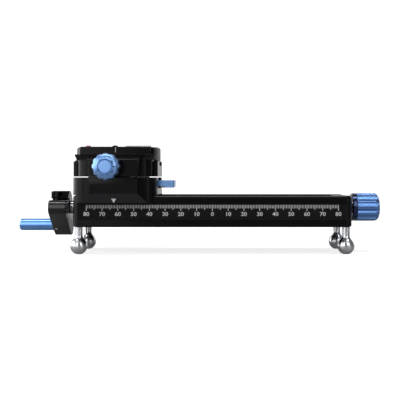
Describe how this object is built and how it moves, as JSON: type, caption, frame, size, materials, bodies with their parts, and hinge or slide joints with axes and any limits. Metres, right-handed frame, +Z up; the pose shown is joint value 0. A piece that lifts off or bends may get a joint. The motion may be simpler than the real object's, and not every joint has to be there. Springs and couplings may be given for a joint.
{
  "type": "macro focusing rail",
  "caption": "Geared focusing rail with a crank and a fluted end knob, a sliding carriage, a quick shift lever and a turning dovetail clamp with a screw knob.",
  "frame": {"origin": "mouth of the large tripod socket, in the middle of the underside of the rail", "axes": "+X along the rail towards the fluted knob, -Y to the front that carries the scale and the clamp knob, +Z up"},
  "size_m": [0.2397, 0.0805, 0.0697],
  "materials": {
    "black_anodised": "satin black anodised",
    "blue_anodised": "satin blue anodised",
    "polished_steel": "polished stainless steel",
    "ground_steel": "ground steel",
    "dark_steel": "black oxide",
    "bronze": "machined bronze",
    "black_rubber": "ribbed rubber",
    "red_plastic": "moulded"
  },
  "bodies": {
    "rail": {"rail_channel": "black_anodised", "left_end_block": "black_anodised", "right_end_block": "black_anodised", "front_guide_rod": "ground_steel", "rear_guide_rod": "ground_steel", "left_bearing": "ground_steel", "right_bearing": "ground_steel", "end_block_screws": "ground_steel", "front_left_foot": "polished_steel", "front_right_foot": "polished_steel", "rear_left_foot": "polished_steel", "rear_right_foot": "polished_steel"},
    "screw": {"lead_screw": "ground_steel", "left_collar": "black_anodised", "right_collar": "black_anodised", "end_knob": "blue_anodised", "end_knob_set_screw": "dark_steel", "crank_arm": "black_anodised", "crank_clamp_screw": "dark_steel", "handle_pin": "ground_steel"},
    "handle": {"handle_hinge": "dark_steel"},
    "grip": {"handle_grip": "blue_anodised"},
    "carriage": {"carriage_saddle": "black_anodised", "front_rod_bushes": "bronze", "rear_rod_bushes": "bronze", "lever_pin": "ground_steel", "lever_springs": "ground_steel", "pan_hub": "ground_steel", "pan_hub_screws": "ground_steel", "pan_retainer": "ground_steel", "pan_screw": "ground_steel"},
    "nut": {"half_nut": "bronze"},
    "lever": {"quick_lever": "blue_anodised"},
    "clamp": {"clamp_base": "black_anodised", "clamp_deck": "black_anodised", "clamp_deck_screws": "dark_steel", "jaw_guide_pins": "ground_steel", "jaw_springs": "ground_steel"},
    "jaw": {"clamp_jaw": "black_anodised", "jaw_grip_strip": "black_rubber", "stop_pin": "dark_steel"},
    "button": {"release_button": "red_plastic"},
    "clamp_knob": {"clamp_knob": "blue_anodised", "clamp_screw": "ground_steel", "clamp_washer": "dark_steel"}
  },
  "joints": [
    {"name": "screw_turn", "type": "hinge", "parent": "rail", "child": "screw", "pos_m": [0, 0, 0.012], "axis": [1, 0, 0], "range_deg": [-35712, 0]},
    {"name": "carriage_slide", "type": "slide", "parent": "rail", "child": "carriage", "axis": [1, 0, 0], "range_m": [0, 0.124]},
    {"name": "handle_fold", "type": "hinge", "parent": "screw", "child": "handle", "pos_m": [-0.1035, 0.0028, 0.00338], "axis": [0, 0.5446, 0.8387], "range_deg": [0, 90]},
    {"name": "grip_spin", "type": "hinge", "parent": "handle", "child": "grip", "pos_m": [-0.118, 0.008, 0], "axis": [1, 0, 0], "continuous": true},
    {"name": "lever_press", "type": "hinge", "parent": "carriage", "child": "lever", "pos_m": [-0.044, 0, 0.0279], "axis": [0, 1, 0], "range_deg": [0, 6]},
    {"name": "nut_lift", "type": "slide", "parent": "carriage", "child": "nut", "axis": [0, 0, 1], "range_m": [0, 0.0019], "stiffness_N_per_m": 200, "springref_m": -0.001},
    {"name": "pan", "type": "hinge", "parent": "carriage", "child": "clamp", "pos_m": [-0.062, 0, 0.032], "axis": [0, 0, 1], "continuous": true},
    {"name": "jaw_slide", "type": "slide", "parent": "clamp", "child": "jaw", "axis": [0, -1, 0], "range_m": [0, 0.004]},
    {"name": "clamp_knob_turn", "type": "hinge", "parent": "jaw", "child": "clamp_knob", "pos_m": [-0.0652, -0.04, 0.0383], "axis": [0, -1, 0], "range_deg": [0, 1800]},
    {"name": "button_press", "type": "slide", "parent": "jaw", "child": "button", "axis": [0, 0, -1], "range_m": [0, 0.0005], "stiffness_N_per_m": 300, "springref_m": -0.001}
  ],
  "couplings": [
    {"joint": "screw_turn", "follows": "carriage_slide", "rad_per_m": -5026.5},
    {"joint": "lever_press", "follows": "nut_lift", "rad_per_m": 55.1},
    {"joint": "clamp_knob_turn", "follows": "jaw_slide", "rad_per_m": 7853.9}
  ]
}
